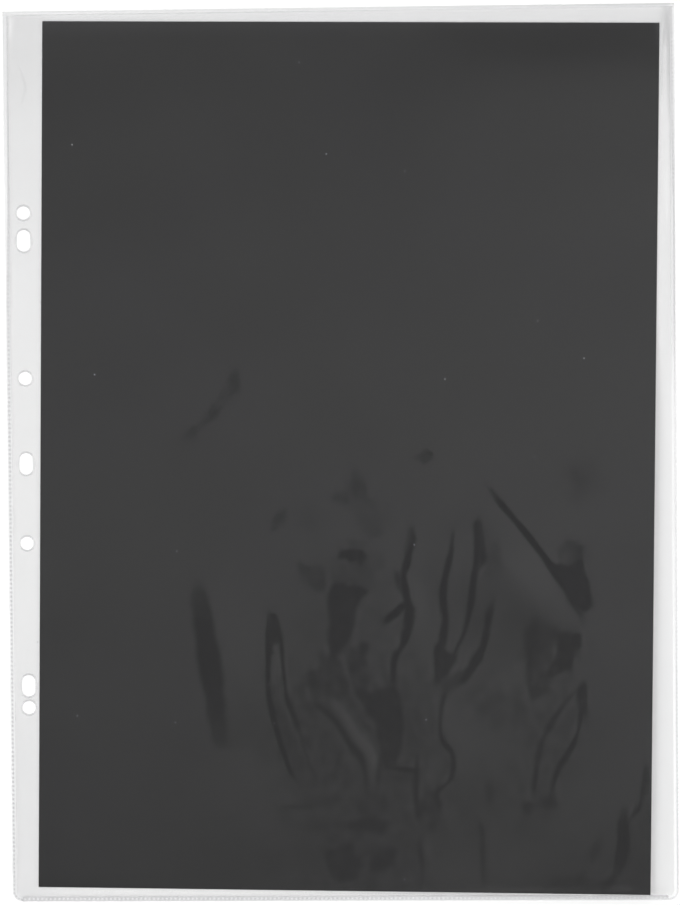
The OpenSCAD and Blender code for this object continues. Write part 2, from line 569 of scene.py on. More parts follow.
# How ragged a patch is, as a share of its soft edge, and how uneven its hold is
PATCH_RAGGED = 0.6
PATCH_UNEVEN = 0.08


def patch_cling(patch, x, y):
    """How far the film clings in and round one patch, which is uneven and has a ragged edge."""
    cling = np.zeros(len(x))
    near = within(patch.outline, 3 * patch.edge, x, y)
    ragged = waves(x[near], y[near], 5, (4, 5, 7, 9, 14), PATCH_RAGGED * patch.edge)
    inside = inside_by(patch.outline, x[near], y[near]) + ragged
    uneven = 1 - PATCH_UNEVEN + waves(x[near], y[near], 6, (3, 4, 5, 7), PATCH_UNEVEN)
    cling[near] = patch.hold * uneven * smooth_step(-patch.edge, patch.edge, inside)
    return cling


def hole_gap(x, y):
    """Distance from each point to the rim of the nearest punched hole."""
    gap = np.full(len(x), np.inf)
    for hole in HOLES:
        beyond = np.maximum(np.abs(y - hole.y) - hole.straight / 2, 0)
        gap = np.minimum(gap, np.hypot(x - hole.x, beyond) - hole.radius)
    return gap


# Greyness of a hole's rim at its sides, and the painted shade that its upper and lower ends have beyond that
RIM_FROST = 0.035
RIM_END_SHADE = 0.055


def rim_grey_and_shade(x, y):
    """How grey the film is round the punched holes, with painted shade added at their upper and lower ends.
    """
    frost_and_shade = np.zeros(len(x))
    for hole in HOLES:
        beyond = np.maximum(np.abs(y - hole.y) - hole.straight / 2, 0)
        away = np.hypot(x - hole.x, beyond)
        ends = beyond / np.maximum(away, 0.1)
        strength = RIM_FROST + RIM_END_SHADE * smooth_step(0.45, 0.85, ends)
        frost_and_shade = np.maximum(frost_and_shade, strength * (1 - smooth_step(0.3, 1.0, away - hole.radius)))
    return frost_and_shade


def weld_gap(x, y):
    """Distance from each point to the nearest of the three welds."""
    return np.minimum(np.minimum(x - INNER_LEFT, INNER_RIGHT - x), y - INNER_BOTTOM)


# Height and width of the burr round a hole
BURR = 0.05
BURR_WIDTH = 0.4


def rim_lift(x, y):
    """The burr that the punch leaves round each hole."""
    return BURR * np.exp(-((np.maximum(hole_gap(x, y), 0) / BURR_WIDTH) ** 2))


# Height of the loose film above the sheet, what the mouth adds to it, and how far from a weld, from the
# bottom weld and from a hole it is loose
SLACK = 0.25
MOUTH_SLACK = 0.35
MOUTH_REACH = 30
LOOSE_FROM_WELD = 3.2
LOOSE_FROM_BOTTOM = 7.0
LOOSE_FROM_HOLE = 6.0
KEPT_AT_HOLE = 0.15


def front_lift(x, y, strength):
    """Height of the front film above where it would lie flat, and how far it clings to the sheet."""
    folds = np.zeros(len(x))
    cling = np.zeros(len(x))
    for crease in CREASES:
        lift, held = crease_lift(crease, x, y)
        folds += lift
        cling = np.maximum(cling, held)
    for patch in PATCHES:
        cling = np.maximum(cling, patch_cling(patch, x, y))
    for ridge in RIDGES:
        part = ridge_part(ridge, x, y)
        folds += ridge.height * part
        cling = cling * (1 - smooth_step(0.1, 0.6, part))
    slack = SLACK + waves(x, y, 2, (58, 71, 90, 120, 160), 0.10)
    mouth = MOUTH_SLACK * smooth_step(MOUTH - MOUTH_REACH, MOUTH, y)
    mouth = mouth * (1 + waves(x, y, 3, (70, 110), 0.4))
    free = smooth_step(0, LOOSE_FROM_WELD, weld_gap(x, y))
    free = free * smooth_step(0, LOOSE_FROM_BOTTOM, y - INNER_BOTTOM)
    near_holes = smooth_step(0, LOOSE_FROM_HOLE, hole_gap(x, y))
    lift = strength * (folds + slack + mouth)
    lift = np.maximum(lift, 0) * free * (KEPT_AT_HOLE + (1 - KEPT_AT_HOLE) * near_holes)
    return lift + rim_lift(x, y), cling


def back_lift(x, y):
    """Height of the back film's upper face above where it lies flat; the sheet keeps it down."""
    return 0.3 * rim_lift(x, y)


# Making thin plates

def film_outline(top, radius, lip):
    """Closed outline of a film between the welds, anticlockwise from its round lower left corner.

    Above the mouth, a film with a lip is as wide as the whole pocket.
    """
    quarter = [math.radians(90 * i / 6) for i in range(7)]
    across = INNER_RIGHT - radius
    up = INNER_BOTTOM + radius
    lower_left = [(-across - radius * math.cos(a), up - radius * math.sin(a)) for a in quarter]
    lower_right = [(across + radius * math.sin(a), up - radius * math.cos(a)) for a in quarter]
    if lip:
        upper = [(INNER_RIGHT, MOUTH), (RIGHT, MOUTH), (RIGHT, top)]
        upper += [(LEFT, top), (LEFT, MOUTH), (INNER_LEFT, MOUTH)]
    else:
        upper = [(INNER_RIGHT, top), (INNER_LEFT, top)]
    return lower_left + lower_right + upper


def spaced(corners, step):
    """The closed outline again, with its long sides split into runs of about one step."""
    made = []
    for start, end in zip(corners, corners[1:] + corners[:1]):
        count = max(1, round(math.dist(start, end) / step))
        for i in range(count):
            part = i / count
            made.append((start[0] + (end[0] - start[0]) * part, start[1] + (end[1] - start[1]) * part))
    return made


def hole_outline(hole, grow, count=20):
    """Closed outline round a hole, grown outwards by grow."""
    radius = hole.radius + grow
    made = []
    for centre, start in ((hole.y + hole.straight / 2, 0), (hole.y - hole.straight / 2, math.pi)):
        for i in range(count + (hole.straight > 0)):
            angle = start + math.pi * i / count
            made.append((hole.x + radius * math.cos(angle), centre + radius * math.sin(angle)))
    return made


def graded_points(low, high, step, wanted):
    """Points of a triangular lattice, thinned out where a coarser spacing is wanted."""
    rows = int((high[1] - low[1]) / (step * math.sqrt(0.75))) + 1
    columns = int((high[0] - low[0]) / step) + 2
    row, column = np.mgrid[0:rows, 0:columns]
    x = low[0] + (column + 0.5 * (row % 2)) * step
    y = low[1] + row * step * math.sqrt(0.75)
    level = np.zeros(x.shape)
    for power in (1, 2, 3):
        every = 2 ** power
        shift = (row // 2) % every
        level[(row % every == 0) & ((column + shift) % every == 0)] = power
    x, y, level = x.ravel(), y.ravel(), level.ravel()
    inside = (x > low[0]) & (x < high[0]) & (y > low[1]) & (y < high[1])
    x, y, level = x[inside], y[inside], level[inside]
    keep = step * 2**level >= np.minimum(wanted(x, y), step * 8)
    return x[keep], y[keep]


# A patch with a wider soft edge than this, in millimetres, needs no finer mesh
COARSE_EDGE = 5.0


def crease_spacing(fine):
    """Spacing that the front film's mesh wants: fine along the creases, coarse on the flat."""
    reach = 16 * fine

    def wanted(x, y):
        near = np.full(len(x), reach)
        for crease in CREASES:
            close = within(crease.path, crease.width + reach, x, y)
            left = beside(flowing(crease.path, 4), x[close], y[close])[1]
            near[close] = np.minimum(near[close], np.abs(left) - crease.width * 0.7)
        for shade_and_scratch in SHADE_AND_SCRATCH_LINES:
            close = within(shade_and_scratch.path, reach, x, y)
            left = beside(flowing(shade_and_scratch.path, 4), x[close], y[close])[1]
            near[close] = np.minimum(near[close], np.abs(left) - shade_and_scratch.width)
        for patch in PATCHES:
            if patch.edge > COARSE_EDGE:
                continue
            close = within(patch.outline, reach, x, y)
            edge = np.abs(inside_by(patch.outline, x[close], y[close]))
            near[close] = np.minimum(near[close], edge - 1.5)
        near = np.minimum(near, np.minimum(weld_gap(x, y), hole_gap(x, y)) - 3)
        return fine * (1 + 0.45 * np.maximum(near, 0))
    return wanted


def flat_triangles(rings, bands, x, y):
    """Triangles between the rings, the first of which is the outer one, through the free points."""
    points = []
    edges = []
    for ring in rings:
        first = len(points)
        points += ring
        edges += [(first + i, first + (i + 1) % len(ring)) for i in range(len(ring))]
    points += [point for band in bands for point in band]
    points += list(zip(x, y))
    made = delaunay_2d_cdt([Vector(p) for p in points], edges, [], 0, 1e-4)
    flat = np.array(made[0])[:, :2]
    triangles = np.array(made[2])
    middle = flat[triangles].mean(axis=1)
    return flat, triangles, middle


def two_faced_mesh(name, upper, lower, faces, masks):
    """A mesh of upper and lower points, in millimetres, that keeps the masks on both."""
    mesh = bpy.data.meshes.new(name)
    mesh.from_pydata((np.vstack([upper, lower]) * MM).tolist(), [], faces)
    for label, values in masks.items():
        layer = mesh.attributes.new(label, "FLOAT", "POINT")
        layer.data.foreach_set("value", np.concatenate([values, values]).astype(np.float32))
    return mesh


def thin_plate(name, flat, triangles, height, thickness, masks):
    """A closed plate over the flat triangles, with its upper face at the given heights, in millimetres."""
    count = len(flat)
    upper = np.column_stack([flat, height])
    lower = np.column_stack([flat, height - thickness])
    edges = np.sort(np.vstack([triangles[:, [0, 1]], triangles[:, [1, 2]], triangles[:, [2, 0]]]), axis=1)
    pairs, uses = np.unique(edges, axis=0, return_counts=True)
    border = {tuple(pair) for pair in pairs[uses == 1]}
    faces = [tuple(t) for t in triangles] + [tuple(t[::-1] + count) for t in triangles]
    for a, b, c in triangles:
        for start, end in ((a, b), (b, c), (c, a)):
            if (min(start, end), max(start, end)) in border:
                faces.append((end, start, start + count, end + count))
    mesh = two_faced_mesh(name, upper, lower, [[int(i) for i in f] for f in faces], masks)
    mesh.shade_smooth()
    mesh.set_sharp_from_angle(angle=math.radians(50))
    mesh.update()
    return place(name, mesh)


def place(name, mesh):
    """A new object in the scene with the mesh."""
    piece = bpy.data.objects.new(name, mesh)
    bpy.context.scene.collection.objects.link(piece)
    return piece


def used_only(flat, triangles):
    """The triangles again, without the points that none of them uses."""
    used, packed = np.unique(triangles, return_inverse=True)
    return flat[used], packed.reshape(-1, 3)


# Fine rows of mesh points: how far they lie below a film's upper edge, how far below the mouth where the film
# has a lip, how far below the edge the last one lies where it has none, and how far outside a hole. Then the
# spacing of the points in a row and on the outline.
EDGE_ROWS = (0.35, 0.9)
LIP_ROWS = (0.3, 1.2, 2.4)
LAST_ROW = 2.0
RIM_ROWS = (0.35, 0.7, 1.1)
ROW_STEP = 0.8
OUTLINE_STEP = 1.6


def film_plan(top, radius, lip, step, wanted):
    """Flat triangles of a film with its punched holes, and fine bands along each cut edge and the mouth."""
    drops = [*EDGE_ROWS]
    if lip:
        drops += [top - MOUTH + below for below in LIP_ROWS]
    else:
        drops += [LAST_ROW]
    rings = [spaced(film_outline(top, radius, lip), OUTLINE_STEP)]
    rings += [hole_outline(hole, 0) for hole in HOLES]
    bands = [hole_outline(hole, grow) for hole in HOLES for grow in RIM_ROWS]
    run = np.arange(INNER_LEFT + 1, INNER_RIGHT - 0.5, ROW_STEP)
    bands += [[(float(x), top - drop) for x in run] for drop in drops]
    high = (INNER_RIGHT - 0.6, top - drops[-1] - 0.7)
    x, y = graded_points((INNER_LEFT + 0.6, INNER_BOTTOM + 0.6), high, step, wanted)
    clear = (hole_gap(x, y) > 1.5) & (corner_gap(x, y, radius) > 0.4)
    flat, triangles, middle = flat_triangles(rings, bands, x[clear], y[clear])
    mid_x, mid_y = middle.T
    solid = (hole_gap(mid_x, mid_y) > 0) & (corner_gap(mid_x, mid_y, radius) > 0)
    solid &= (np.abs(mid_x) < INNER_RIGHT) | (mid_y > MOUTH)
    return used_only(flat, triangles[solid])


def corner_gap(x, y, radius):
    """How far inside the two round lower corners of a film each point is; large away from them."""
    sideways = np.abs(x) - (INNER_RIGHT - radius)
    down = INNER_BOTTOM + radius - y
    in_corner = (sideways > 0) & (down > 0)
    return np.where(in_corner, radius - np.hypot(sideways, down), radius)


# Node helpers

def feed(tree, socket, value):
    """Links a socket, or sets a plain value."""
    if isinstance(value, bpy.types.NodeSocket):
        tree.links.new(value, socket)
    else:
        socket.default_value = value


def new_node(tree, kind, inputs=None, **settings):
    """A node with its settings made, and its named inputs linked or set."""
    made = tree.nodes.new(kind)
    for name, value in settings.items():
        setattr(made, name, value)
    for name, value in (inputs or {}).items():
        feed(tree, made.inputs[name], value)
    return made


def calc(tree, operation, *values, clamp=False):
    """A Math node's result."""
    made = new_node(tree, "ShaderNodeMath", operation=operation, use_clamp=clamp)
    for socket, value in zip(made.inputs, values):
        feed(tree, socket, value)
    return made.outputs[0]


def ramp(tree, value, low, high, to_low=0.0, to_high=1.0):
    """A value moved smoothly from one range to another."""
    made = new_node(tree, "ShaderNodeMapRange", interpolation_type="SMOOTHSTEP")
    for socket, number in zip(made.inputs, (value, low, high, to_low, to_high)):
        feed(tree, socket, number)
    return made.outputs[0]


def on_piece(tree):
    """The place on the piece, in metres."""
    return new_node(tree, "ShaderNodeTexCoord").outputs["Object"]


def noise(tree, where, scale, detail=3.0, roughness=0.5):
    """A Noise texture's value, at a scale in features a metre."""
    inputs = {"Vector": where, "Scale": scale, "Detail": detail, "Roughness": roughness}
    return new_node(tree, "ShaderNodeTexNoise", inputs).outputs["Fac"]


def mix_colour(tree, factor, first, second):
    """Two colours mixed."""
    made = new_node(tree, "ShaderNodeMix", data_type="RGBA")
    feed(tree, made.inputs["Factor"], factor)
    feed(tree, made.inputs["A"], first)
    feed(tree, made.inputs["B"], second)
    return made.outputs["Result"]


def opaque(colour, factors=(1, 1, 1)):
    """A colour with its parts scaled and its alpha added."""
    return tuple(part * factor for part, factor in zip(colour, factors)) + (1,)


def attribute(tree, name):
    """A mask kept on the mesh."""
    return new_node(tree, "ShaderNodeAttribute", attribute_name=name).outputs["Fac"]


def bump(tree, strength, distance, height):
    """A normal moved by a height, in metres."""
    inputs = {"Strength": strength, "Distance": distance, "Height": height}
    return new_node(tree, "ShaderNodeBump", inputs).outputs["Normal"]


def new_material(name):
    """An empty node material and its tree."""
    material = bpy.data.materials.new(name)
    material.use_nodes = True
    material.node_tree.nodes.clear()
    return material, material.node_tree


def close_material(tree, shader):
    """Links the shader to the material's output."""
    new_node(tree, "ShaderNodeOutputMaterial", {"Surface": shader.outputs[0]})


# Marks in the film: clouds of haze and specks of dust a metre, how far a speck reaches in its cell, how the
# fine scratches are turned and stretched, and how grey they are
CLOUD_SCALE = 22
SPECK_SCALE = 17
SPECK_REACH = (0.0035, 0.0075)
SCRATCH_TURN = math.radians(38)
SCRATCH_STRETCH = (30, 900, 1)
SCRATCH_FROST = 0.006


def film_marks_group():
    """Haze, scratches, dust and the faint grain of rolled film, shared by films and welds."""
    name = "film_marks"
    if name in bpy.data.node_groups:
        return bpy.data.node_groups[name]
    tree = bpy.data.node_groups.new(name, "ShaderNodeTree")
    for label in ("Haze", "Dust"):
        tree.interface.new_socket(label, in_out="INPUT", socket_type="NodeSocketFloat")
    for label in ("Opacity", "Roughness", "Violet", "Height"):
        tree.interface.new_socket(label, in_out="OUTPUT", socket_type="NodeSocketFloat")
    given = new_node(tree, "NodeGroupInput").outputs
    where = on_piece(tree)
    clouds = noise(tree, where, CLOUD_SCALE, 4)
    cells = {"Vector": where, "Scale": SPECK_SCALE}
    specks = new_node(tree, "ShaderNodeTexVoronoi", cells, voronoi_dimensions="2D", feature="F1").outputs
    bright = new_node(tree, "ShaderNodeSeparateColor", {"Color": specks["Color"]}).outputs[0]
    dust = calc(tree, "SUBTRACT", 1, ramp(tree, specks["Distance"], *SPECK_REACH))
    dust = calc(tree, "MULTIPLY", dust, ramp(tree, bright, 0.1, 1.0))
    turned = {"Vector": where, "Rotation": (0, 0, SCRATCH_TURN), "Scale": SCRATCH_STRETCH}
    strokes = new_node(tree, "ShaderNodeMapping", turned).outputs[0]
    scratch = ramp(tree, noise(tree, strokes, 1, 2), 0.70, 0.78)
    haze = calc(tree, "MULTIPLY", given["Haze"], calc(tree, "MULTIPLY_ADD", clouds, 1.2, 0.4))
    marks = calc(tree, "MULTIPLY_ADD", scratch, SCRATCH_FROST, haze)
    new_node(tree, "NodeGroupOutput", {
        "Opacity": calc(tree, "MULTIPLY_ADD", dust, given["Dust"], marks),
        "Roughness": calc(tree, "MULTIPLY_ADD", clouds, 0.06, 0.18),
        "Violet": ramp(tree, noise(tree, where, 9, 1), 0.42, 0.62),
        "Height": noise(tree, where, 420, 2),
    })
    return tree


# Share of light that clear film mirrors when seen straight on, and how much of it is lost on the sheet
FILM_MIRROR = 0.035
MIRROR_LOST = 0.95

# Blotches a metre where the film half clings, and how strong they are
BLOTCH_SCALE = 170
BLOTCH_GAIN = 4.6


def clear_of_sheet(tree):
    """1 where the film stands clear and near 0 where it clings, in blotches where it half clings."""
    cling = attribute(tree, "cling")
    spots = noise(tree, on_piece(tree), BLOTCH_SCALE, 3, 0.45)
    blotch = calc(tree, "MULTIPLY_ADD", spots, BLOTCH_GAIN, -BLOTCH_GAIN / 2)
    doubt = calc(tree, "MULTIPLY", cling, calc(tree, "SUBTRACT", 1, cling))
    contact = calc(tree, "MULTIPLY_ADD", doubt, blotch, cling, clamp=True)
    return calc(tree, "MULTIPLY_ADD", contact, -MIRROR_LOST, 1.0)


def clear_material(name, colour, violet, edge, haze, dust):
    """Clear glossy film, which mirrors a little and is greyer where it is cut or pressed, and where its mask
    carries painted shade and painted highlight.
    """
    material, tree = new_material(name)
    given = {"Haze": haze, "Dust": dust}
    marks = new_node(tree, "ShaderNodeGroup", given, node_tree=film_marks_group()).outputs
    frost_and_shade = attribute(tree, "frost_and_shade")
    grain = bump(tree, 1.0, 4.0e-7, marks["Height"])
    tint = mix_colour(tree, marks["Violet"], colour, violet)
    body = new_node(tree, "ShaderNodeBsdfPrincipled", {
        "Base Color": mix_colour(tree, ramp(tree, frost_and_shade, 0.0, 0.04), tint, edge),
        "Alpha": calc(tree, "ADD", frost_and_shade, marks["Opacity"], clamp=True),
        "Roughness": 0.45,
        "IOR": 1.5,
        "Normal": grain,
    })
    mirror = new_node(tree, "ShaderNodeBsdfGlossy", {
        "Roughness": calc(tree, "MULTIPLY_ADD", frost_and_shade, 1.5, marks["Roughness"]),
        "Normal": grain,
    })
    facing = new_node(tree, "ShaderNodeLayerWeight", {"Blend": 0.5}).outputs["Facing"]
    mirrored = calc(tree, "MULTIPLY_ADD", calc(tree, "POWER", facing, 5), 1 - FILM_MIRROR, FILM_MIRROR)
    share = calc(tree, "MULTIPLY", mirrored, clear_of_sheet(tree))
    both = new_node(tree, "ShaderNodeMixShader", {"Fac": share})
    tree.links.new(body.outputs[0], both.inputs[1])
    tree.links.new(mirror.outputs[0], both.inputs[2])
    close_material(tree, both)
    return material


# Fibres and clouds a metre in the paper, and how far they change its shade
FIBRE_SCALE = 2600
PAPER_CLOUD_SCALE = 26
PAPER_MOTTLE = 0.15


def paper_material(colour):
    """Matt black paper with a fine fibre grain."""
    material, tree = new_material("black_paper")
    where = on_piece(tree)
    fibre = noise(tree, where, FIBRE_SCALE, 5, 0.65)
    cloud = noise(tree, where, PAPER_CLOUD_SCALE, 3)
    tone = calc(tree, "MULTIPLY_ADD", fibre, 0.5, calc(tree, "MULTIPLY", cloud, 0.5))
    dark = opaque(colour, (1 - PAPER_MOTTLE,) * 3)
    light = opaque(colour, (1 + PAPER_MOTTLE,) * 3)
    body = new_node(tree, "ShaderNodeBsdfPrincipled", {
        "Base Color": mix_colour(tree, tone, dark, light),
        "Roughness": ramp(tree, fibre, 0.2, 0.8, 0.72, 0.9),
        "Specular IOR Level": 0.10,
        "Normal": bump(tree, 0.6, 2.0e-5, fibre),
    })
    close_material(tree, body)
    return material


def floor_material(colour):
    """Plain white table."""
    material, tree = new_material("white_table")
    inputs = {"Base Color": opaque(colour), "Roughness": 0.9, "Specular IOR Level": 0.0}
    close_material(tree, new_node(tree, "ShaderNodeBsdfPrincipled", inputs))
    return material


def bell(tree, value, centre, spread):
    """1 at the centre and a smooth fall on both sides of it."""
    away = calc(tree, "DIVIDE", calc(tree, "SUBTRACT", value, centre), spread)
    return calc(tree, "EXPONENT", calc(tree, "MULTIPLY", calc(tree, "MULTIPLY", away, away), -1))


# The panel overhead, in slopes from straight up: its middle across, its spread across and along, and where
# its sides end. Then the glow in it: its middle across, its spread and its share of the panel's brightness.
PANEL_AT = 0.14
PANEL_SPREAD = (0.80, 0.26)
PANEL_SIDES = (0.48, 0.32)
GLOW_AT = 0.21
GLOW_SPREAD = 0.13
GLOW_SHARE = 0.48


def oval(tree, across, along, centre, spread):
    """1 at a place overhead, and a smooth fall all round it."""
    return calc(tree, "MULTIPLY", bell(tree, across, centre, spread[0]), bell(tree, along, 0.0, spread[1]))


def studio_world(settings):
    """A soft panel overhead, brighter to the right, a dark ring round it and pale walls."""
    world = bpy.data.worlds.new("studio")
    world.use_nodes = True
    tree = world.node_tree
    tree.nodes.clear()
    direction = new_node(tree, "ShaderNodeTexCoord").outputs["Generated"]
    parts = new_node(tree, "ShaderNodeSeparateXYZ", {"Vector": direction}).outputs
    up = calc(tree, "MAXIMUM", parts["Z"], 0.05)
    across = calc(tree, "DIVIDE", parts["X"], up)
    along = calc(tree, "DIVIDE", parts["Y"], up)
    panel = oval(tree, across, along, PANEL_AT, PANEL_SPREAD)
    panel = calc(tree, "MULTIPLY", panel, settings.ceiling)
    glow = oval(tree, across, along, GLOW_AT, (GLOW_SPREAD, GLOW_SPREAD))
    panel = calc(tree, "MULTIPLY_ADD", glow, settings.ceiling * GLOW_SHARE, panel)
    panel = calc(tree, "MULTIPLY", panel, ramp(tree, calc(tree, "ABSOLUTE", across), *PANEL_SIDES))
    walls = ramp(tree, parts["Z"], 0.40, 0.75, settings.walls, 0.02)
    light = new_node(tree, "ShaderNodeBackground", {"Color": calc(tree, "ADD", panel, walls)})
    new_node(tree, "ShaderNodeOutputWorld", {"Surface": light.outputs[0]})
    return world


# Soft lamps: their width and height, and where each one stands and its share of the light
LAMP_SIZE = (0.8, 1.4)
LAMPS = (
    ("left_lamp", (-2.0, 0.15, 1.9), 0.27),
    ("right_lamp", (2.0, -0.15, 1.9), 0.17),
    ("near_lamp", (0.15, -2.0, 1.9), 0.31),
    ("far_lamp", (-0.15, 2.0, 1.9), 0.25),
)


def side_lamp(name, place_at, power):
    """A large soft lamp aimed at the pocket."""
    lamp = bpy.data.lights.new(name, "AREA")
    lamp.shape = "RECTANGLE"
    lamp.size, lamp.size_y = LAMP_SIZE
    lamp.energy = power
    held = bpy.data.objects.new(name, lamp)
    held.location = place_at
    held.rotation_euler = (-Vector(place_at)).to_track_quat("-Z", "Y").to_euler()
    bpy.context.scene.collection.objects.link(held)


def table_mesh(colour):
    """A wide table that falls away a little under the lower right of the pocket, for the shadow there."""
    gap = 0.1
    fall = 2.4
    fine = np.arange(-260, 261, 10.0)
    line = np.concatenate([[-4000, -1000, -400], fine, [400, 1000, 4000]])
    x, y = (grid.ravel() for grid in np.meshgrid(line, line))
    side = smooth_step(0.4 * LEFT, RIGHT, x)
    near = 1 - smooth_step(0, 80, y)
    points = np.column_stack([x, y, -gap - fall * side * near]) * MM
    count = len(line)
    first = [row * count + column for row in range(count - 1) for column in range(count - 1)]
    mesh = bpy.data.meshes.new("table")
    mesh.from_pydata(points.tolist(), [], [(i, i + 1, i + count + 1, i + count) for i in first])
    mesh.shade_smooth()
    mesh.materials.append(floor_material(colour))
    return mesh


# Operators

class POCKET_OT_stage(bpy.types.Operator):
    """Camera, white table, side lamps and surroundings"""

    bl_idname = "pocket.stage"
    bl_label = "Stage"

    def execute(self, context):
        settings = context.scene.pocket_studio
        camera = bpy.data.cameras.new("camera")
        camera.sensor_fit = "VERTICAL"
        camera.sensor_height = 36
        camera.lens = settings.lens
        camera.clip_start = 0.01
        held = bpy.data.objects.new("camera", camera)
        held.location = settings.eye
        held.rotation_euler = settings.turn
        context.scene.collection.objects.link(held)
        context.scene.camera = held
        place("table", table_mesh(context.scene.pocket_colours.floor))
        for name, away, share in LAMPS:
            side_lamp(name, away, settings.lamp_power * share)
        context.scene.world = studio_world(settings)
        context.scene.view_settings.view_transform = "Standard"
        return {"FINISHED"}


# Haze and dust of the films and of the welds
FILM_MARKS = (0.003, 0.22)
WELD_MARKS = (0.005, 0.0)


def film_material(context):
    """The films' shared material."""
    if "clear_film" in bpy.data.materials:
        return bpy.data.materials["clear_film"]
    colours = context.scene.pocket_colours
    violet = opaque(colours.film, (0.97, 0.95, 1.04))
    return clear_material("clear_film", opaque(colours.film), violet, opaque(colours.edge), *FILM_MARKS)


def stand_for(piece, material, node):
    """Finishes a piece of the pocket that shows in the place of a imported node."""
    piece.data.materials.append(material)
    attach(piece, POCKET_BODY)
    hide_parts(node)


# Greyness of a film's upper edge at its left end, and how much less it is at its right end
CUT_FROST = 0.10
CUT_FROST_LOST = 0.07

# Greyness of the back film: of its lip in the middle, what the lip gains to the right, the painted shade
# below the mouth, and at both ends of the binding margin; and that of the front film just below the mouth
LIP_FROST = 0.09
LIP_FROST_GAINED = 0.045
BACK_MOUTH_SHADE = 0.022
MARGIN_END_FROST = 0.022
FRONT_MOUTH_FROST = 0.010


def cut_grey_and_shade(flat, top):
    """How grey a film is along its cut edges: its free upper edge and the rims of its holes, with their
    painted shade.
    """
    strength = CUT_FROST - CUT_FROST_LOST * smooth_step(-60, 80, flat[:, 0])
    at_top = strength * (1 - smooth_step(0.2, 0.8, top - flat[:, 1]))
    return np.maximum(at_top, rim_grey_and_shade(*flat.T))


def back_grey_and_shade(flat):
    """How grey the back film is: its cut edges, its lip, painted shade in its margins below the mouth, and
    greyer ends of the binding margin.
    """
    x, y = flat.T
    lip = (LIP_FROST + LIP_FROST_GAINED * x / RIGHT) * smooth_step(MOUTH - 0.1, MOUTH + 0.3, y)
    # Painted shade of the margins below the mouth; the sheet hides it elsewhere
    shade_below_mouth = BACK_MOUTH_SHADE * smooth_step(MOUTH - 60, MOUTH - 15, y)
    at_ends = MARGIN_END_FROST * smooth_step(-135, -150, x) * smooth_step(60, 170, np.abs(y))
    greyed = (shade_below_mouth + at_ends) * (y < MOUTH)
    return np.maximum(cut_grey_and_shade(flat, TOP), lip) + greyed


def front_grey_and_shade(flat):
    """How grey the front film is: its cut edges with their painted rim shade, the painted shade of the pinch,
    the grey of the scratch, and a greyer band just below the mouth.
    """
    shaded_and_scratched = sum(line_shade_and_scratch(shade_and_scratch, *flat.T) for shade_and_scratch in SHADE_AND_SCRATCH_LINES)
    greyed = FRONT_MOUTH_FROST * smooth_step(MOUTH - 9, MOUTH - 3, flat[:, 1])
    return cut_grey_and_shade(flat, MOUTH) + shaded_and_scratched + greyed


# Spacing of the back film's mesh points, fine this near to a hole and coarse elsewhere
BACK_FINE = 1.6
BACK_FINE_REACH = 4
BACK_COARSE = 4.0


class POCKET_OT_back_film(bpy.types.Operator):
    """Flat back film with the lip above the mouth"""

    bl_idname = "pocket.back_film"
    bl_label = "Back film"

    def execute(self, context):
        sizes = context.scene.pocket_sizes
        radius = sizes.corner_radius / MM - WELD_WIDTH

        def wanted(x, y):
            return np.where(hole_gap(x, y) < BACK_FINE_REACH, BACK_FINE, BACK_COARSE)

        flat, triangles = film_plan(TOP, radius, True, BACK_FINE, wanted)
        height = BACK_HIGH[2] + back_lift(*flat.T)
        masks = {"frost_and_shade": back_grey_and_shade(flat), "cling": np.zeros(len(flat))}
        piece = thin_plate("back_film", flat, triangles, height, sizes.film_thickness / MM, masks)
        stand_for(piece, film_material(context), "back_film")
        return {"FINISHED"}


class POCKET_OT_front_film(bpy.types.Operator):
    """Wrinkled front film, which ends at the mouth"""

    bl_idname = "pocket.front_film"
    bl_label = "Front film"

    def execute(self, context):
        sizes = context.scene.pocket_sizes
        radius = sizes.corner_radius / MM - WELD_WIDTH
        fine = sizes.fine_step / MM
        flat, triangles = film_plan(MOUTH, radius, False, fine, crease_spacing(fine))
        lift, cling = front_lift(*flat.T, sizes.wrinkle)
        masks = {"frost_and_shade": front_grey_and_shade(flat), "cling": cling}
        piece = thin_plate("front_film", flat, triangles, STACK_TOP + lift, sizes.film_thickness / MM, masks)
        stand_for(piece, film_material(context), "front_film")
        return {"FINISHED"}


class WeldGreyAndShade(NamedTuple):
    """How grey a weld is at one place along it, painted shade and painted highlight included.

    The ladder's middle lies this far from the outer edge and reaches this far to both sides. The other
    values are the greyness of its rungs and its pits, of the film outside it and of the film inside it.
    """

    along: float
    middle: float
    reach: float
    rung: float
    pit: float
    outer: float
    inner: float


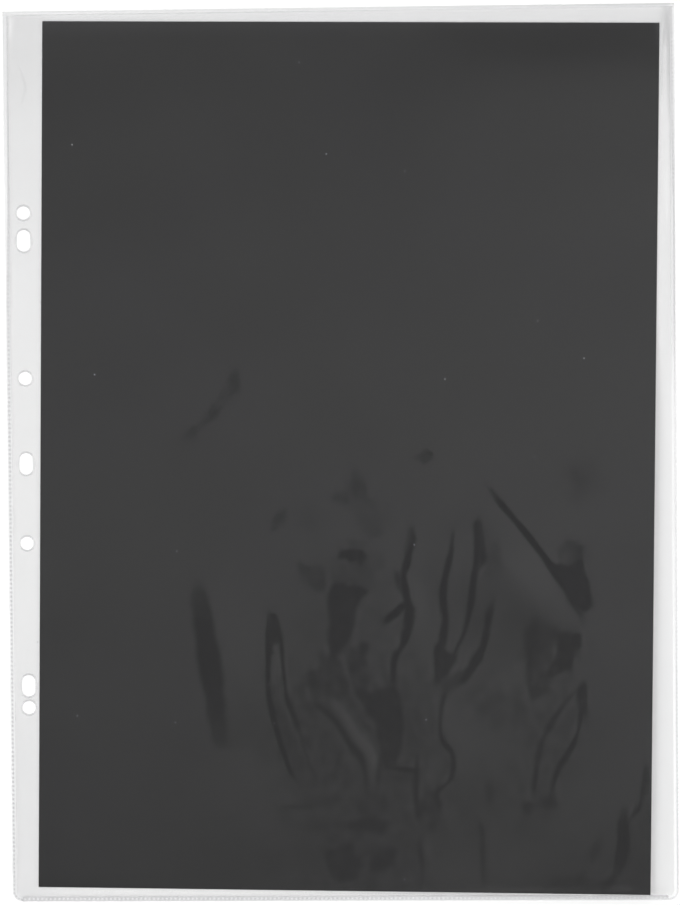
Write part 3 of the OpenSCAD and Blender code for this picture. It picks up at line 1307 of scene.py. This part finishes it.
# From the mouth down, or from the left to the right
WELD_GREY_AND_SHADE = {
    "binding_weld": (
        WeldGreyAndShade(0.05, 2.2, 0.40, 0.17, 0.15, 0.11, 0.10),
        WeldGreyAndShade(0.20, 1.9, 0.45, 0.24, 0.20, 0.05, 0.08),
        WeldGreyAndShade(0.32, 1.2, 0.70, 0.21, 0.15, 0.06, 0.07),
        WeldGreyAndShade(0.70, 1.1, 0.55, 0.23, 0.12, 0.05, 0.03),
        WeldGreyAndShade(0.95, 0.9, 0.45, 0.27, 0.15, 0.07, 0.08),
    ),
    "side_weld": (
        WeldGreyAndShade(0.00, 1.4, 0.50, 0.18, 0.15, 0.07, 0.16),
        WeldGreyAndShade(0.12, 1.2, 0.70, 0.17, 0.14, 0.10, 0.11),
        WeldGreyAndShade(0.22, 0.7, 0.35, 0.26, 0.22, 0.05, 0.08),
        WeldGreyAndShade(0.34, 0.7, 0.35, 0.26, 0.22, 0.05, 0.07),
        # Painted highlight: the side weld's film clears along its lower half, where light catches it
        WeldGreyAndShade(0.45, 0.7, 0.45, 0.10, 0.07, 0.03, 0.00),
        WeldGreyAndShade(0.95, 0.5, 0.45, 0.15, 0.12, 0.08, 0.00),
    ),
    "bottom_weld": (
        WeldGreyAndShade(0.00, 1.2, 0.55, 0.21, 0.12, 0.22, 0.20),
        WeldGreyAndShade(0.45, 1.2, 0.55, 0.21, 0.14, 0.22, 0.20),
        # Painted shadow of the sheet: the bottom weld greys towards its right end
        WeldGreyAndShade(0.85, 1.2, 0.55, 0.26, 0.22, 0.22, 0.30),
    ),
}


def weld_grey_and_shade_at(kind, along):
    """How grey a weld is at a share of its length, painted shade and painted highlight included."""
    stations = np.array(WELD_GREY_AND_SHADE[kind]).T
    return WeldGreyAndShade(*(float(np.interp(along, stations[0], values)) for values in stations))


def weld_path(kind, radius, step):
    """Points along the outer edge of a weld, with the direction inwards at each."""
    quarter = math.pi / 2
    if kind == "bottom_weld":
        run = np.arange(LEFT + radius, RIGHT - radius + 1e-6, step)
        return [((x, BOTTOM), (0, 1)) for x in run]
    side = -1 if kind == "binding_weld" else 1
    edge = LEFT if side < 0 else RIGHT
    made = [((edge, y), (-side, 0)) for y in np.arange(MOUTH, BOTTOM + radius, -step)]
    centre = (edge - side * radius, BOTTOM + radius)
    for i in range(13):
        angle = quarter * i / 12
        out = (side * math.cos(angle), -math.sin(angle))
        made.append(((centre[0] + out[0] * radius, centre[1] + out[1] * radius), (-out[0], -out[1])))
    return made


# Width of a pit's walls, height of the rails beside the pits, and how far the long edges are rounded down
PIT_WALL = 0.22
RAIL_HEIGHT = 0.03
EDGE_DROP = 0.05


def weld_piece(context, kind):
    """One fused strip with rails, rungs and pits on its upper face."""
    sizes = context.scene.pocket_sizes
    radius = sizes.corner_radius / MM
    pitch = sizes.rung_pitch / MM
    half_length = sizes.pit_length / MM / 2
    half_pit = sizes.pit_width / MM / 2
    depth = sizes.pit_depth / MM
    step = pitch / 10
    path = weld_path(kind, radius, step)
    middle = WELD_WIDTH / 2
    pit_edge = middle - half_pit
    outer_half = [0, 0.1, 0.3, pit_edge - 0.12, pit_edge, pit_edge + PIT_WALL]
    across = np.array([*outer_half, middle, *(WELD_WIDTH - u for u in reversed(outer_half))])
    in_pit = 1 - smooth_step(half_pit - PIT_WALL, half_pit, np.abs(across - middle))
    rail = np.exp(-(((np.abs(across - middle) - half_pit - 0.15) / 0.22) ** 2))
    length = sum(math.dist(a[0], b[0]) for a, b in zip(path, path[1:]))
    edge_round = EDGE_DROP * (1 - smooth_step(0, 0.3, np.minimum(across, WELD_WIDTH - across)))
    points = []
    frost_and_shade = []
    travelled = 0.0
    before = path[0][0]
    for place_at, inward in path:
        travelled += math.dist(before, place_at)
        before = place_at
        phase = (travelled % pitch) - pitch / 2
        open_here = 1 - float(smooth_step(half_length - PIT_WALL, half_length, np.array(abs(phase))))
        sink = depth * in_pit * open_here
        top = STACK_TOP - sink - edge_round + RAIL_HEIGHT * rail
        zone = weld_grey_and_shade_at(kind, travelled / length)
        rails = np.where(across < zone.middle, zone.outer * smooth_step(0, 0.2, across), zone.inner)
        ladder = zone.rung + (zone.pit - zone.rung) * open_here
        frost_and_shade += list(rails + (ladder - rails) * np.exp(-(((across - zone.middle) / zone.reach) ** 4)))
        for u, z in zip(across, top):
            points.append((place_at[0] + inward[0] * u, place_at[1] + inward[1] * u, z))
    return points, frost_and_shade, len(path), len(across)


# How far a weld's two films lose their mirror to each other
WELD_CLING = 0.5


def ladder_mesh(name, points, frost_and_shade, rows, columns):
    """A closed strip from its upper face's grid of points, with a flat underside."""
    upper = np.array(points)
    lower = upper.copy()
    lower[:, 2] = 0.0
    count = len(upper)
    faces = []
    for i in range(rows - 1):
        for j in range(columns - 1):
            a = i * columns + j
            b = a + columns
            faces.append((a, a + 1, b + 1, b))
            faces.append((a + count, b + count, b + 1 + count, a + 1 + count))
        for j, turn in ((0, 1), (columns - 1, -1)):
            a = i * columns + j
            b = a + columns
            faces.append((a, b, b + count, a + count)[::turn])
    for i, turn in ((0, -1), (rows - 1, 1)):
        for j in range(columns - 1):
            a = i * columns + j
            faces.append((a, a + 1, a + 1 + count, a + count)[::turn])
    masks = {"frost_and_shade": np.array(frost_and_shade), "cling": np.full(count, WELD_CLING)}
    mesh = two_faced_mesh(name, upper, lower, faces, masks)
    solid = bmesh.new()
    solid.from_mesh(mesh)
    bmesh.ops.recalc_face_normals(solid, faces=solid.faces)
    solid.to_mesh(mesh)
    solid.free()
    mesh.shade_smooth()
    mesh.set_sharp_from_angle(angle=math.radians(60))
    return place(name, mesh)


class POCKET_OT_welds(bpy.types.Operator):
    """The three ladder-patterned welds that hold the films together"""

    bl_idname = "pocket.welds"
    bl_label = "Welds"

    def execute(self, context):
        colours = context.scene.pocket_colours
        violet = opaque(colours.weld, (1, 1, 1.06))
        edge = opaque(colours.edge)
        material = clear_material("fused_film", opaque(colours.weld), violet, edge, *WELD_MARKS)
        for kind in WELD_GREY_AND_SHADE:
            stand_for(ladder_mesh(kind, *weld_piece(context, kind)), material, kind)
        return {"FINISHED"}


class POCKET_OT_sheet(bpy.types.Operator):
    """Finish of the loose black sheet"""

    bl_idname = "pocket.sheet"
    bl_label = "Black sheet"

    def execute(self, context):
        finish = frame["nodes"]["sheet"].data.materials
        finish.clear()
        finish.append(paper_material(context.scene.pocket_colours.paper))
        return {"FINISHED"}


class POCKET_PT_sidebar(bpy.types.Panel):
    bl_idname = "POCKET_PT_sidebar"
    bl_label = "Sheet pocket"
    bl_space_type = "VIEW_3D"
    bl_region_type = "UI"
    bl_category = "Pocket"

    def draw(self, context):
        for label, kind in GROUPS.items():
            box = self.layout.box()
            for name in kind.__annotations__:
                box.prop(getattr(context.scene, label), name)
        for operator in OPERATORS:
            self.layout.operator(operator.bl_idname)


OPERATORS = (POCKET_OT_stage, POCKET_OT_back_film, POCKET_OT_sheet, POCKET_OT_front_film, POCKET_OT_welds)
GROUPS = {"pocket_sizes": PocketSizes, "pocket_colours": PocketColours, "pocket_studio": StudioSettings}
CLASSES = (*GROUPS.values(), *OPERATORS, POCKET_PT_sidebar)


def register():
    for made in CLASSES:
        bpy.utils.register_class(made)
    for label, kind in GROUPS.items():
        setattr(bpy.types.Scene, label, bpy.props.PointerProperty(type=kind))


def unregister():
    for label in GROUPS:
        delattr(bpy.types.Scene, label)
    for made in reversed(CLASSES):
        bpy.utils.unregister_class(made)


def main():
    register()
    bpy.ops.pocket.stage()
    bpy.ops.pocket.back_film()
    bpy.ops.pocket.sheet()
    bpy.ops.pocket.front_film()
    bpy.ops.pocket.welds()


if __name__ == "__main__":
    main()
